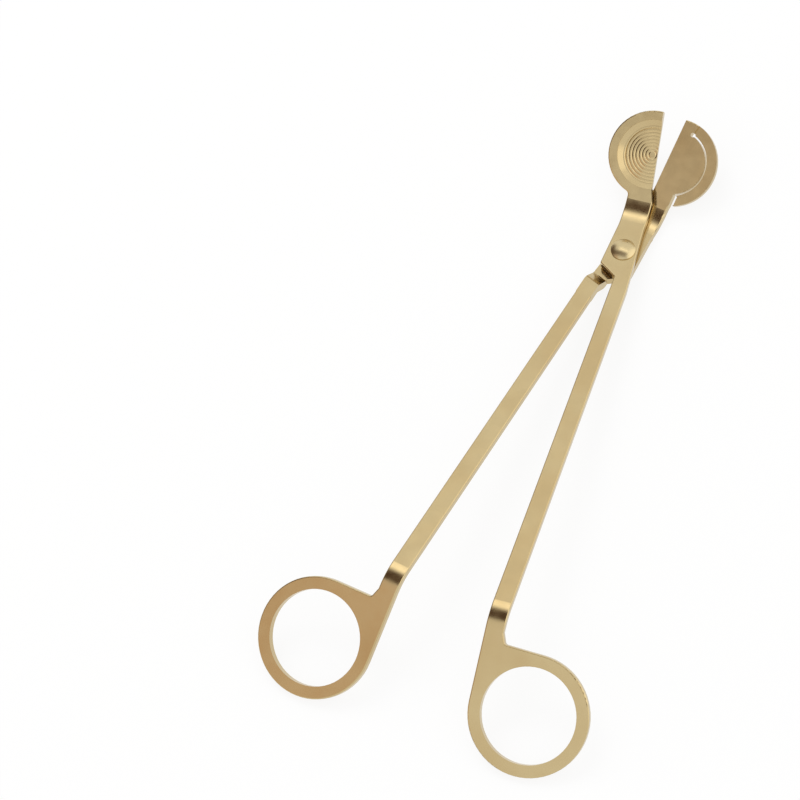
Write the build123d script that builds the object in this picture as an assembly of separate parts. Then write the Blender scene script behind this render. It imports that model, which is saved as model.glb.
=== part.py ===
from build123d import *
import os
from math import acos, atan2, cos, degrees, hypot, radians, sin, tan

# Candle wick trimmer: two stamped and bent levers that turn on one rivet.
# It lies on a table: +Y runs from the finger rings to the cutting head, +Z is up.
# Each lever is first built flat on the pivot axis (local X across, local Y to the head,
# local Z up along the rivet), with its finger ring towards +X. The blade lever is then
# mirrored, both are turned about the rivet, and the whole tool is leaned until it rests.

# Driving dimensions: millimetres and degrees.
PLATE = 2.2  # thickness of the stamped sheet, both levers
OPEN_ANGLE = 12.0  # angle between the two shanks as modelled
INNER_EDGE = 0.2  # shank's inner edge from the line through the pivot

SHANK_WIDTH_HEAD = 4.35  # shank width where it leaves the boss
SHANK_WIDTH_RING = 4.75  # shank width at the finger-ring bend
SHANK_START = 12.0  # from the pivot to where the boss has run out into the shank
RING_FOLD = 112.0  # from the pivot to the fold line of the finger ring
RING_BEND_ANGLE = 35.0  # droop of the ring plate
RING_BEND_RADIUS = 12.0  # on the upper, outer side of the bend
RING_REACH = 22.7  # from the fold line to the centre of the finger ring
RING_OUTER_RADIUS = 15.4
RING_HOLE_RADIUS = 12.2
RING_CORNER_OUT = 1.0  # how far the web's corner stands out from the shank's outer edge
RING_CORNER_REACH = 7.0  # from the fold line to the web's corner
RING_CORNER_RADIUS = 0.8
RING_LEAD = 0.6  # straight-sided start of the web past the bend

BOSS_OUTER = 4.6  # from the pivot line to the shoulder's corner
SHOULDER_TOP = 5.2  # shoulder's corner, below the pivot
SHOULDER_FOOT = 8.5  # where the shoulder meets the shank's inner edge
SHOULDER_RADIUS = 0.5

NECK_OUTER = 3.6  # neck's outer edge from the pivot line
NECK_CUT = 3.2  # neck's cut-side edge from the pivot line
NECK_FOLD = 12.2  # from the pivot to the fold line of the neck
NECK_BEND_ANGLE = 29.0  # rise of the head
NECK_BEND_RADIUS = 12.0  # on the tray lever's upper, inner side of the bend
HEAD_REACH = 15.6  # from the fold line to the centre of the head
HEAD_RADIUS = 11.5
NECK_CORNER_RADIUS = 1.2
BEND_LEAD = 1.5  # straight-sided stretch of a lever before each of its bends

TRAY_PAST_CENTRE = 1.3  # tray's edge beyond the centre of the head
TRAY_EDGE_LEAN = 5.0  # tray's edge leans in towards its tip
BLADE_PAST_CENTRE = 1.7
BLADE_EDGE_LEAN = 1.0
EDGE_FOOT = 8.5  # from the head's centre down to where the cutting edge meets the neck

FLANGE_INNER_RADIUS = 9.1
FLANGE_STEP = 0.3  # upright step at the inside of the flange
FLOOR_RADIUS = 7.7
FLOOR_DEPTH = 1.05
GROOVE_PITCH = 0.88
GROOVE_INSET = 0.53  # outermost groove's centre, inside the floor's rim
GROOVE_WIDTH = 0.56
GROOVE_DEPTH = 0.14

SLOT_INNER_RADIUS = 8.4
SLOT_OUTER_RADIUS = 8.8
SLOT_TIP_ANGLE = 12.0  # slot's round end, from the line to the tip
SLOT_NECK_ANGLE = 66.0  # slot's open end, below the line across the head
SLOT_END_RADIUS = 0.6
SLOT_MOUTH = 1.0  # width of the slot's way out beside the neck
GUARD_DROP = 0.5  # guard crescent lies this much below the blade

JOGGLE_START = 9.3  # from the pivot to the ramp of the blade lever's joggle
JOGGLE_LENGTH = 3.4
JOGGLE_SKEW = 15.0  # ramp's slant across the shank
JOGGLE_RADIUS = 1.0  # on the inside of each crease
JOGGLE_RUN_OUT = 4.0  # from the ramp's crest to where the shank's rims are rounded

RIVET_SHANK_RADIUS = 1.6
RIVET_HEAD_RADIUS = 3.2
RIVET_HEAD_RISE = 1.3
RIVET_HEAD_RIM = 0.25  # upright rim below the dome
RIVET_TAIL_RADIUS = 2.7
RIVET_TAIL_RISE = 0.7
RIVET_TAIL_RIM = 0.2

WASHER_THICKNESS = 0.4
WASHER_RADIUS = 3.4
SEAT_CLEARANCE = 0.02  # rivet in the tray lever and in the washer
RUNNING_CLEARANCE = 0.05  # rivet in the blade lever, around it and behind it

EDGE_SOFTENING = 0.35  # tumbled edges of the stampings
SETTLE_STEPS = 6  # rounds of levelling the tool on the table

# Derived sizes.
LAP_GAP = WASHER_THICKNESS + RUNNING_CLEARANCE
TRAY_TOP = LAP_GAP / 2 + PLATE
BLADE_BOSS_TOP = -LAP_GAP / 2
TALL = 60.0  # reach of cutting prisms past everything
SECTOR_STEPS = 8  # sides of a cutting wedge's far rim
TINY = 1e-4  # points closer than this are the same
CREASE_ANGLE = 20.0  # faces that meet at less than this angle run on
RING_START = RING_FOLD - RING_BEND_RADIUS * tan(radians(RING_BEND_ANGLE) / 2)
NECK_START = NECK_FOLD - NECK_BEND_RADIUS * tan(radians(NECK_BEND_ANGLE) / 2)


def bend_plane(top, start, radius, angle):
    """Plane on a plate's upper face just past a bend. It rises towards +Y for a
    positive radius (head) and droops towards -Y for a negative one (finger ring)."""
    if radius > 0:
        y = start + radius * sin(radians(angle))
        z = top + radius * (1 - cos(radians(angle)))
    else:
        y = -start + radius * sin(radians(angle))
        z = top + radius * (1 - cos(radians(angle)))
    normal = (0, -sin(radians(angle)), cos(radians(angle)))
    return Plane(origin=(0, y, z), x_dir=(1, 0, 0), z_dir=normal)


def bend(left, right, top, start, radius, angle):
    """Curved strip between a flat plate and the plate past the bend."""
    y = start if radius > 0 else -start
    section = Plane(origin=(0, y, 0), x_dir=(1, 0, 0), z_dir=(0, -1, 0))
    outline = RectangleRounded(right - left, PLATE, EDGE_SOFTENING)
    strip = section * Pos((left + right) / 2, top - PLATE / 2) * outline
    return revolve(strip, Axis((0, y, top + radius), (1, 0, 0)), angle)


def is_crease(sheet, edge):
    """True where the two faces that meet at the edge run smoothly into each other."""
    middle = edge.position_at(0.5)
    faces = [face for face in sheet.faces() if any(edge.is_same(e) for e in face.edges())]
    normals = [face.normal_at(middle) for face in faces]
    return normals[0].get_angle(normals[-1]) < CREASE_ANGLE


def soften(sheet, joints):
    """Round the rims of a piece of sheet, but not its ends on the lines y = joints."""
    rims = []
    for edge in sheet.edges():
        ends = [edge.position_at(0), edge.position_at(1)]
        upright = abs(ends[0].X - ends[1].X) + abs(ends[0].Y - ends[1].Y) < TINY
        joined = any(all(abs(end.Y - y) < TINY for end in ends) for y in joints)
        if not upright and not joined and not is_crease(sheet, edge):
            rims.append(edge)
    return fillet(rims, EDGE_SOFTENING)


def tangent_point(centre, radius, corner):
    """Where a line from the corner touches the circle, on the corner's clockwise side."""
    away = hypot(corner[0] - centre[0], corner[1] - centre[1])
    turn = atan2(corner[1] - centre[1], corner[0] - centre[0]) - acos(radius / away)
    return (centre[0] + radius * cos(turn), centre[1] + radius * sin(turn))


def sector(centre, reach, first, last):
    """Wedge of a circle between two angles, counted anticlockwise from +X."""
    turns = [first + (last - first) * i / SECTOR_STEPS for i in range(SECTOR_STEPS + 1)]
    angles = [radians(turn) for turn in turns]
    rim = [(centre[0] + reach * cos(a), centre[1] + reach * sin(a)) for a in angles]
    return Polygon(centre, *rim, align=None)


def finger_ring(top):
    """P-shaped finger-ring plate past the ring bend."""
    plane = bend_plane(top, RING_START, -RING_BEND_RADIUS, RING_BEND_ANGLE)
    past_bend = RING_FOLD - RING_START
    centre = (INNER_EDGE + RING_OUTER_RADIUS, past_bend - RING_REACH)
    outer_edge = INNER_EDGE + SHANK_WIDTH_RING
    corner = (outer_edge + RING_CORNER_OUT, past_bend - RING_CORNER_REACH)
    touch = tangent_point(centre, RING_OUTER_RADIUS, corner)
    foot = (INNER_EDGE, centre[1])
    lead = (outer_edge, -RING_LEAD)
    start = (outer_edge, 0)
    web = Polygon((INNER_EDGE, 0), foot, centre, touch, corner, lead, start, align=None)
    outline = web + Pos(*centre) * Circle(RING_OUTER_RADIUS)
    outline = fillet(outline.vertices().sort_by_distance((*corner, 0))[0], RING_CORNER_RADIUS)
    outline -= Pos(*centre) * Circle(RING_HOLE_RADIUS)
    return plane * soften(extrude(outline, -PLATE), [0])


def ring_end(top):
    """Finger-ring plate with its bend."""
    outer_edge = INNER_EDGE + SHANK_WIDTH_RING
    curve = bend(INNER_EDGE, outer_edge, top, RING_START, -RING_BEND_RADIUS, RING_BEND_ANGLE)
    return curve + finger_ring(top)


def flat_outline():
    """Shank, shoulder and boss seen along the rivet, from the ring bend to the neck bend."""
    shoulder = (-BOSS_OUTER, -SHOULDER_TOP)
    outline = Polygon(
        (INNER_EDGE, -RING_START),
        (INNER_EDGE + SHANK_WIDTH_RING, -RING_START),
        (INNER_EDGE + SHANK_WIDTH_RING, -RING_START + BEND_LEAD),
        (INNER_EDGE + SHANK_WIDTH_HEAD, -SHANK_START),
        (NECK_CUT, NECK_START - BEND_LEAD),
        (NECK_CUT, NECK_START),
        (-NECK_OUTER, NECK_START),
        (-NECK_OUTER, NECK_START - BEND_LEAD),
        shoulder,
        (INNER_EDGE, -SHOULDER_FOOT),
        align=None,
    )
    return fillet(outline.vertices().sort_by_distance((*shoulder, 0))[0], SHOULDER_RADIUS)


def head_sheet(past_centre, edge_lean, centre_y):
    """Neck and half-disc of a head, in the plane past the neck bend, with a sharp edge."""
    slope = tan(radians(edge_lean))
    neck_top = centre_y - HEAD_RADIUS / 2
    neck = Polygon(
        (-NECK_OUTER, 0), (NECK_CUT, 0), (NECK_CUT, neck_top), (-NECK_OUTER, neck_top), align=None
    )
    outline = neck + Pos(0, centre_y) * Circle(HEAD_RADIUS)
    corners = outline.vertices().filter_by(lambda v: TINY < v.Y < centre_y)
    outline = fillet(corners, NECK_CORNER_RADIUS)
    kept = Polygon(
        (-TALL, 0),
        (NECK_CUT, 0),
        (past_centre + slope * EDGE_FOOT, centre_y - EDGE_FOOT),
        (past_centre - slope * TALL, centre_y + TALL),
        (-TALL, centre_y + TALL),
        align=None,
    )
    return soften(extrude(outline, -PLATE), [0]) & extrude(kept, TALL, both=True)


def tray_recess(centre_y):
    """Turned recess of the debris tray: flange step, sloping wall and grooved floor."""
    profile = [(0, TALL), (FLANGE_INNER_RADIUS, TALL), (FLANGE_INNER_RADIUS, -FLANGE_STEP)]
    profile.append((FLOOR_RADIUS, -FLOOR_DEPTH))
    for i in range(int(FLOOR_RADIUS / GROOVE_PITCH)):
        middle = FLOOR_RADIUS - GROOVE_INSET - GROOVE_PITCH * i
        profile.append((middle + GROOVE_WIDTH / 2, -FLOOR_DEPTH))
        profile.append((middle, -FLOOR_DEPTH - GROOVE_DEPTH))
        profile.append((middle - GROOVE_WIDTH / 2, -FLOOR_DEPTH))
    profile.append((0, -FLOOR_DEPTH))
    section = Plane(origin=(0, centre_y, 0), x_dir=(1, 0, 0), z_dir=(0, -1, 0))
    return revolve(section * Polygon(*profile, align=None), Axis((0, centre_y, 0), (0, 0, 1)), 360)


def tray_head(plane):
    """Half-disc that carries the debris tray."""
    centre_y = HEAD_REACH - (NECK_FOLD - NECK_START)
    sheet = head_sheet(TRAY_PAST_CENTRE, TRAY_EDGE_LEAN, centre_y)
    return plane * (sheet - tray_recess(centre_y))


def blade_slot(centre_y):
    """Curved slot that parts the blade from its guard, with its way out beside the neck."""
    centre = (0, centre_y)
    first = 90 + SLOT_TIP_ANGLE
    last = 180 + SLOT_NECK_ANGLE
    band = Pos(*centre) * (Circle(SLOT_OUTER_RADIUS) - Circle(SLOT_INNER_RADIUS))
    slot = band & sector(centre, TALL, first, last)
    middle = (SLOT_INNER_RADIUS + SLOT_OUTER_RADIUS) / 2
    end = (middle * cos(radians(first)), centre_y + middle * sin(radians(first)))
    slot += Pos(*end) * Circle(SLOT_END_RADIUS)
    mouth_top = centre_y + middle * sin(radians(last))
    mouth = Pos(-NECK_OUTER - SLOT_MOUTH / 2, mouth_top - TALL / 2) * Rectangle(SLOT_MOUTH, TALL)
    return slot + mouth


def guard_recess(centre_y):
    """Area of the guard crescent, which lies below the blade's face."""
    centre = (0, centre_y)
    band = Pos(*centre) * (Circle(TALL / 2) - Circle(SLOT_INNER_RADIUS))
    return band & sector(centre, TALL, 90 + SLOT_TIP_ANGLE, 180 + SLOT_NECK_ANGLE)


def blade_head(plane):
    """Half-moon blade with its slot and guard."""
    centre_y = HEAD_REACH - (NECK_FOLD - NECK_START)
    sheet = head_sheet(BLADE_PAST_CENTRE, BLADE_EDGE_LEAN, centre_y)
    sheet -= extrude(blade_slot(centre_y), TALL, both=True)
    return plane * (sheet - extrude(guard_recess(centre_y), GUARD_DROP, both=True))


def lap_hole(radius):
    """Rivet hole through a lever."""
    return Cylinder(radius, TALL)


def tray_lever():
    """Upper lever: ring, shank, boss, neck and debris tray in one sheet."""
    shank = soften(extrude(flat_outline(), -PLATE), [-RING_START, NECK_START])
    shank = Pos(0, 0, TRAY_TOP) * shank
    neck = bend(-NECK_OUTER, NECK_CUT, TRAY_TOP, NECK_START, NECK_BEND_RADIUS, NECK_BEND_ANGLE)
    head = tray_head(bend_plane(TRAY_TOP, NECK_START, NECK_BEND_RADIUS, NECK_BEND_ANGLE))
    lever = ring_end(TRAY_TOP) + shank + neck + head
    return lever - lap_hole(RIVET_SHANK_RADIUS + SEAT_CLEARANCE)


def joggle_profile():
    """Side profile of the blade lever's flat stretch: low at the boss, then up to the
    level of the other shank, with rounded creases."""
    ring_y = -RING_START
    neck_y = NECK_FOLD
    foot = -JOGGLE_START
    crest = foot - JOGGLE_LENGTH
    rise = TRAY_TOP - BLADE_BOSS_TOP
    shift = PLATE * tan(atan2(rise, JOGGLE_LENGTH) / 2)
    wide = JOGGLE_RADIUS + PLATE
    upper = [(ring_y, TRAY_TOP), (crest, TRAY_TOP), (foot, BLADE_BOSS_TOP), (neck_y, BLADE_BOSS_TOP)]
    lower = [(neck_y, BLADE_BOSS_TOP - PLATE), (foot - shift, BLADE_BOSS_TOP - PLATE)]
    lower += [(crest - shift, TRAY_TOP - PLATE), (ring_y, TRAY_TOP - PLATE)]
    edge = FilletPolyline(*upper, radius=[wide, JOGGLE_RADIUS])
    edge += Line(upper[-1], lower[0])
    edge += FilletPolyline(*lower, radius=[wide, JOGGLE_RADIUS])
    edge += Line(lower[-1], upper[0])
    return make_face(edge)


def joggled_shank():
    """Blade lever's shank, ramp and boss. The ramp is slanted across the shank."""
    side = Plane(origin=(-TALL / 2, 0, 0), x_dir=(0, 1, 0), z_dir=(1, 0, 0))
    slant = tan(radians(JOGGLE_SKEW))
    placed = Pos(0, -TALL / 2 * slant, 0) * (side * joggle_profile())
    ribbon = extrude(placed, TALL / cos(radians(JOGGLE_SKEW)), dir=(1, slant, 0))
    seam = -(JOGGLE_START + JOGGLE_LENGTH + JOGGLE_RUN_OUT)
    rear = flat_outline() & (Pos(0, seam - RING_FOLD / 2) * Rectangle(TALL, RING_FOLD))
    front = flat_outline() - rear
    shank = Pos(0, 0, TRAY_TOP) * soften(extrude(rear, -PLATE), [-RING_START, seam])
    return shank + (ribbon & extrude(front, TALL, both=True))


def blade_lever():
    """Lower lever, built like the upper one before it is mirrored."""
    top = BLADE_BOSS_TOP
    radius = NECK_BEND_RADIUS + TRAY_TOP - top
    neck = bend(-NECK_OUTER, NECK_CUT, top, NECK_START, radius, NECK_BEND_ANGLE)
    head = blade_head(bend_plane(top, NECK_START, radius, NECK_BEND_ANGLE))
    lever = ring_end(TRAY_TOP) + joggled_shank() + neck + head
    return lever - lap_hole(RIVET_SHANK_RADIUS + RUNNING_CLEARANCE)


def cap(radius, rise, rim):
    """Low dome on a short upright rim, base at z = 0."""
    swell = rise - rim
    ball = (radius**2 + swell**2) / (2 * swell)
    dome = Pos(0, 0, rim + swell - ball) * Sphere(ball)
    return dome & (Pos(0, 0, rise / 2) * Cylinder(radius, rise))


def pivot_rivet():
    """Rivet with a domed head above and a flattened tail below."""
    head = Pos(0, 0, TRAY_TOP) * cap(RIVET_HEAD_RADIUS, RIVET_HEAD_RISE, RIVET_HEAD_RIM)
    tail_top = BLADE_BOSS_TOP - PLATE - RUNNING_CLEARANCE
    tail = Pos(0, 0, tail_top) * Rot(180, 0, 0) * cap(RIVET_TAIL_RADIUS, RIVET_TAIL_RISE, RIVET_TAIL_RIM)
    length = TRAY_TOP - tail_top
    shank = Pos(0, 0, tail_top + length / 2) * Cylinder(RIVET_SHANK_RADIUS, length)
    return head + shank + tail


def friction_washer():
    """Thin washer between the lapped faces."""
    ring = Cylinder(WASHER_RADIUS, WASHER_THICKNESS)
    ring -= Cylinder(RIVET_SHANK_RADIUS + SEAT_CLEARANCE, TALL)
    return Pos(0, 0, LAP_GAP / 2 - WASHER_THICKNESS / 2) * ring


def pieces_about_pivot():
    """All pieces about the rivet, at the modelled opening."""
    turn = Rot(0, 0, OPEN_ANGLE / 2)
    back = Rot(0, 0, -OPEN_ANGLE / 2)
    return {
        "tray_lever": turn * tray_lever(),
        "blade_lever": back * mirror(blade_lever(), about=Plane.YZ),
        "pivot_rivet": pivot_rivet(),
        "friction_washer": friction_washer(),
    }


def resting_lean(pieces):
    """Angle about X at which the finger rings and the front of the tool touch one table."""
    reach = RING_FOLD + RING_REACH + TALL
    half = Box(reach, reach, reach, align=(Align.CENTER, Align.MIN, Align.CENTER))
    everything = Compound(list(pieces.values()))
    front = everything & half
    rear = everything - half
    lean = 0.0
    for _ in range(SETTLE_STEPS):
        low_front = (Rot(lean, 0, 0) * front).bounding_box().min
        low_rear = (Rot(lean, 0, 0) * rear).bounding_box().min
        lean -= degrees(atan2(low_front.Z - low_rear.Z, NECK_FOLD - low_rear.Y))
    return lean


def placement(pieces):
    """Moves the pieces from the rivet's frame to the table, centred on the tool's box."""
    lean = Rot(resting_lean(pieces), 0, 0)
    box = Compound([lean * piece for piece in pieces.values()]).bounding_box()
    return Pos(-box.center().X, -box.center().Y, -box.min.Z) * lean


if __name__ == "__main__":
    os.makedirs("parts", exist_ok=True)
    pieces = pieces_about_pivot()
    place = placement(pieces)
    print("pivot", place.position, "lean", place.orientation.X)
    for name, piece in pieces.items():
        export_step(place * piece, os.path.join("parts", name + ".step"))
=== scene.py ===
import math

import bpy
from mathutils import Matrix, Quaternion, Vector

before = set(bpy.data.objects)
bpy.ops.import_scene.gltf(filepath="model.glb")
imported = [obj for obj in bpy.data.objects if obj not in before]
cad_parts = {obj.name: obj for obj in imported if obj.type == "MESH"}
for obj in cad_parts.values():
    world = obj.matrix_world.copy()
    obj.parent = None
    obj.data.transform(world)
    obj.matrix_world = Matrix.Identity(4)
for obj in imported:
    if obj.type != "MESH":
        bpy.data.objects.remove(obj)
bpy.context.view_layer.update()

# Camera: a long lens from above and to the right of the finger rings.
AZIMUTH = math.radians(38.97)  # 0 looks along +Y
ELEVATION = math.radians(62.94)
ROLL = math.radians(-16.57)
TARGET = Vector((-0.04054, -0.0036, -0.00517))  # point at the middle of the view, metres
DISTANCE = 1.165
LENS = 202.5
SENSOR = 36.0
CLIP_NEAR = 0.05
CLIP_FAR = 20.0

# Plating: colour where it reflects plain white, roughness range, and heights of the
# fine grain and of the slow waves, metres.
SHEET_COLOUR = (0.58, 0.46, 0.25)
SHEET_DEEP = (0.54, 0.41, 0.21)
SHEET_ROUGHNESS = (0.16, 0.22)
SHEET_GRAIN = 6.0e-7
SHEET_WAVE = 4.0e-5
RIVET_COLOUR = (0.65, 0.53, 0.30)
RIVET_DEEP = (0.60, 0.47, 0.25)
RIVET_ROUGHNESS = (0.28, 0.34)
RIVET_GRAIN = 5.0e-7
RIVET_WAVE = 1.0e-5
WASHER_COLOUR = (0.52, 0.41, 0.19)
WASHER_DEEP = (0.45, 0.34, 0.15)
WASHER_ROUGHNESS = (0.30, 0.40)
WASHER_GRAIN = 2.0e-6
WASHER_WAVE = 1.0e-5

# Pattern sizes of the finish: a larger scale is a finer pattern.
TARNISH_SCALE = 55.0
CLOUD_SCALE = 320.0
GRAIN_SCALE = 2600.0
WAVE_SCALE = 42.0
GRAIN_STRETCH = (1.0, 0.25, 1.0)  # grain runs along Y
TARNISH_RANGE = (0.35, 0.70)
CLOUD_RANGE = (0.30, 0.70)

FLOOR_HALF = 3.0
FLOOR_COLOUR = (0.93, 0.925, 0.915, 1.0)
FLOOR_GLOW = 0.86  # share of the floor's white that shadows don't darken

WHITE = (1.0, 1.0, 1.0, 1.0)
ROOM_STRENGTH = 0.9
HORIZON_FADE = 0.05
KEY_PLACE = (-0.9, 0.8, 1.6)
KEY_SIZE = 1.0
KEY_POWER = 9.0

# Studio round the table, by direction (x, y) of the half-sphere above it:
# low x, high x, low y, high y, softness, colour, strength.
PANELS = [
    (-1.20, -0.33, -1.20, -0.26, 0.08, (0.78, 0.60, 0.48), 1.0),  # warm wall, front left
    (-0.85, 0.45, -0.24, 0.20, 0.05, (0.10, 0.06, 0.04), 1.0),  # dark ceiling flag
    (-0.50, 0.30, 0.28, 0.46, 0.04, (1.0, 0.97, 0.92), 2.0),  # strip lamp
    (0.40, 1.10, -0.15, 0.90, 0.08, (1.0, 0.98, 0.94), 1.5),  # window, right
    (-1.30, -0.75, -0.45, 0.60, 0.08, (0.10, 0.055, 0.03), 1.0),  # dark side, low left
]


def make_camera():
    """Camera at the studio's viewing angle."""
    data = bpy.data.cameras.new("camera")
    data.lens = LENS
    data.sensor_width = SENSOR
    data.clip_start = CLIP_NEAR
    data.clip_end = CLIP_FAR
    camera = bpy.data.objects.new("camera", data)
    bpy.context.scene.collection.objects.link(camera)
    flat = math.cos(ELEVATION)
    back = Vector((math.sin(AZIMUTH) * flat, -math.cos(AZIMUTH) * flat, math.sin(ELEVATION)))
    camera.location = TARGET + back * DISTANCE
    camera.rotation_mode = "QUATERNION"
    level = (-back).to_track_quat("-Z", "Y")
    camera.rotation_quaternion = level @ Quaternion((0.0, 0.0, 1.0), ROLL)
    bpy.context.scene.camera = camera


class Nodes:
    """Short calls for building a node tree."""

    def __init__(self, tree):
        self.tree = tree
        tree.nodes.clear()

    def add(self, kind, **settings):
        node = self.tree.nodes.new(kind)
        for name, value in settings.items():
            setattr(node, name, value)
        return node

    def plug(self, value, socket):
        if isinstance(value, bpy.types.NodeSocket):
            self.tree.links.new(value, socket)
        else:
            socket.default_value = value

    def math(self, operation, a, b=0.0):
        node = self.add("ShaderNodeMath", operation=operation)
        self.plug(a, node.inputs[0])
        self.plug(b, node.inputs[1])
        return node.outputs[0]

    def ramp(self, value, low, high, out_low=0.0, out_high=1.0):
        node = self.add("ShaderNodeMapRange", interpolation_type="SMOOTHSTEP")
        for socket, number in zip(node.inputs, (value, low, high, out_low, out_high)):
            self.plug(number, socket)
        return node.outputs[0]

    def mix(self, factor, a, b):
        node = self.add("ShaderNodeMix", data_type="RGBA")
        self.plug(factor, node.inputs["Factor"])
        self.plug(a, node.inputs[6])
        self.plug(b, node.inputs[7])
        return node.outputs[2]

    def noise(self, where, scale, detail=2.0, stretch=(1.0, 1.0, 1.0)):
        moved = self.add("ShaderNodeMapping")
        self.plug(where, moved.inputs["Vector"])
        moved.inputs["Scale"].default_value = stretch
        node = self.add("ShaderNodeTexNoise")
        self.plug(moved.outputs[0], node.inputs["Vector"])
        node.inputs["Scale"].default_value = scale
        node.inputs["Detail"].default_value = detail
        return node.outputs["Fac"]

    def bump(self, height, distance):
        node = self.add("ShaderNodeBump")
        node.inputs["Strength"].default_value = 1.0
        node.inputs["Distance"].default_value = distance
        self.plug(height, node.inputs["Height"])
        return node

    def white_light(self, kind, strength=1.0):
        node = self.add(kind)
        node.inputs["Color"].default_value = WHITE
        node.inputs["Strength"].default_value = strength
        return node


def plating(name, colour, deep, roughness, grain_height, wave_height):
    """Plated, satin-polished metal with faint tarnish, fine grain and slight waviness."""
    material = bpy.data.materials.new(name)
    material.use_nodes = True
    n = Nodes(material.node_tree)
    where = n.add("ShaderNodeTexCoord").outputs["Object"]
    tarnish = n.noise(where, TARNISH_SCALE, 4.0)
    cloud = n.noise(where, CLOUD_SCALE, 3.0)
    grain = n.noise(where, GRAIN_SCALE, 2.0, GRAIN_STRETCH)
    wave = n.noise(where, WAVE_SCALE, 1.0)
    shader = n.add("ShaderNodeBsdfPrincipled")
    shader.inputs["Metallic"].default_value = 1.0
    mixed = n.mix(n.ramp(tarnish, *TARNISH_RANGE), (*colour, 1.0), (*deep, 1.0))
    n.plug(mixed, shader.inputs["Base Color"])
    n.plug(n.ramp(cloud, *CLOUD_RANGE, *roughness), shader.inputs["Roughness"])
    fine = n.bump(grain, grain_height)
    broad = n.bump(wave, wave_height)
    n.plug(fine.outputs[0], broad.inputs["Normal"])
    n.plug(broad.outputs[0], shader.inputs["Normal"])
    out = n.add("ShaderNodeOutputMaterial")
    n.plug(shader.outputs[0], out.inputs["Surface"])
    return material


def dress(node, material):
    """Give a CAD node its material."""
    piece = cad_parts[node]
    if not piece.material_slots:
        piece.data.materials.append(material)
    for slot in piece.material_slots:
        slot.material = material


def make_world():
    """White studio with soft lamps and dark flags that only reflections see."""
    world = bpy.data.worlds.new("studio")
    bpy.context.scene.world = world
    world.use_nodes = True
    n = Nodes(world.node_tree)
    direction = n.add("ShaderNodeSeparateXYZ")
    n.plug(n.add("ShaderNodeTexCoord").outputs["Generated"], direction.inputs[0])
    x, y, z = direction.outputs
    colour = WHITE
    for low_x, high_x, low_y, high_y, soft, tint, strength in PANELS:
        mask = n.ramp(z, 0.0, HORIZON_FADE)
        for axis, low, high in ((x, low_x, high_x), (y, low_y, high_y)):
            mask = n.math("MULTIPLY", mask, n.ramp(axis, low - soft, low + soft))
            mask = n.math("MULTIPLY", mask, n.ramp(axis, high - soft, high + soft, 1.0, 0.0))
        colour = n.mix(mask, colour, (*[c * strength for c in tint], 1.0))
    path = n.add("ShaderNodeLightPath")
    seen = n.add("ShaderNodeBackground")
    n.plug(colour, seen.inputs["Color"])
    plain = n.white_light("ShaderNodeBackground", ROOM_STRENGTH)
    white = n.white_light("ShaderNodeBackground")
    glossy = n.add("ShaderNodeMixShader")
    n.plug(path.outputs["Is Glossy Ray"], glossy.inputs[0])
    n.plug(plain.outputs[0], glossy.inputs[1])
    n.plug(seen.outputs[0], glossy.inputs[2])
    view = n.add("ShaderNodeMixShader")
    n.plug(path.outputs["Is Camera Ray"], view.inputs[0])
    n.plug(glossy.outputs[0], view.inputs[1])
    n.plug(white.outputs[0], view.inputs[2])
    out = n.add("ShaderNodeOutputWorld")
    n.plug(view.outputs[0], out.inputs["Surface"])


def make_floor():
    """Plain white table that keeps a faint shadow of the tool."""
    data = bpy.data.meshes.new("floor")
    h = FLOOR_HALF
    data.from_pydata([(-h, -h, 0.0), (h, -h, 0.0), (h, h, 0.0), (-h, h, 0.0)], [], [(0, 1, 2, 3)])
    floor = bpy.data.objects.new("floor", data)
    bpy.context.scene.collection.objects.link(floor)
    material = bpy.data.materials.new("floor")
    material.use_nodes = True
    n = Nodes(material.node_tree)
    matte = n.add("ShaderNodeBsdfDiffuse")
    matte.inputs["Color"].default_value = FLOOR_COLOUR
    glow = n.white_light("ShaderNodeEmission")
    path = n.add("ShaderNodeLightPath")
    looked = n.math("MAXIMUM", path.outputs["Is Camera Ray"], path.outputs["Is Glossy Ray"])
    mix = n.add("ShaderNodeMixShader")
    n.plug(n.math("MULTIPLY", looked, FLOOR_GLOW), mix.inputs[0])
    n.plug(matte.outputs[0], mix.inputs[1])
    n.plug(glow.outputs[0], mix.inputs[2])
    out = n.add("ShaderNodeOutputMaterial")
    n.plug(mix.outputs[0], out.inputs["Surface"])
    data.materials.append(material)


def make_lamp(name, place, size, power):
    """Square soft lamp that looks at the tool."""
    data = bpy.data.lights.new(name, "AREA")
    data.shape = "SQUARE"
    data.size = size
    data.energy = power
    lamp = bpy.data.objects.new(name, data)
    bpy.context.scene.collection.objects.link(lamp)
    lamp.location = place
    lamp.rotation_euler = (-Vector(place)).to_track_quat("-Z", "Y").to_euler()
    lamp.visible_glossy = False


make_camera()
make_world()
make_floor()
make_lamp("key", KEY_PLACE, KEY_SIZE, KEY_POWER)

sheet = plating("plated_sheet", SHEET_COLOUR, SHEET_DEEP, SHEET_ROUGHNESS, SHEET_GRAIN, SHEET_WAVE)
rivet = plating("polished_rivet", RIVET_COLOUR, RIVET_DEEP, RIVET_ROUGHNESS, RIVET_GRAIN, RIVET_WAVE)
washer = plating("plain_washer", WASHER_COLOUR, WASHER_DEEP, WASHER_ROUGHNESS, WASHER_GRAIN, WASHER_WAVE)
dress("tray_lever", sheet)
dress("blade_lever", sheet)
dress("pivot_rivet", rivet)
dress("friction_washer", washer)

bpy.context.scene.view_settings.view_transform = "Standard"
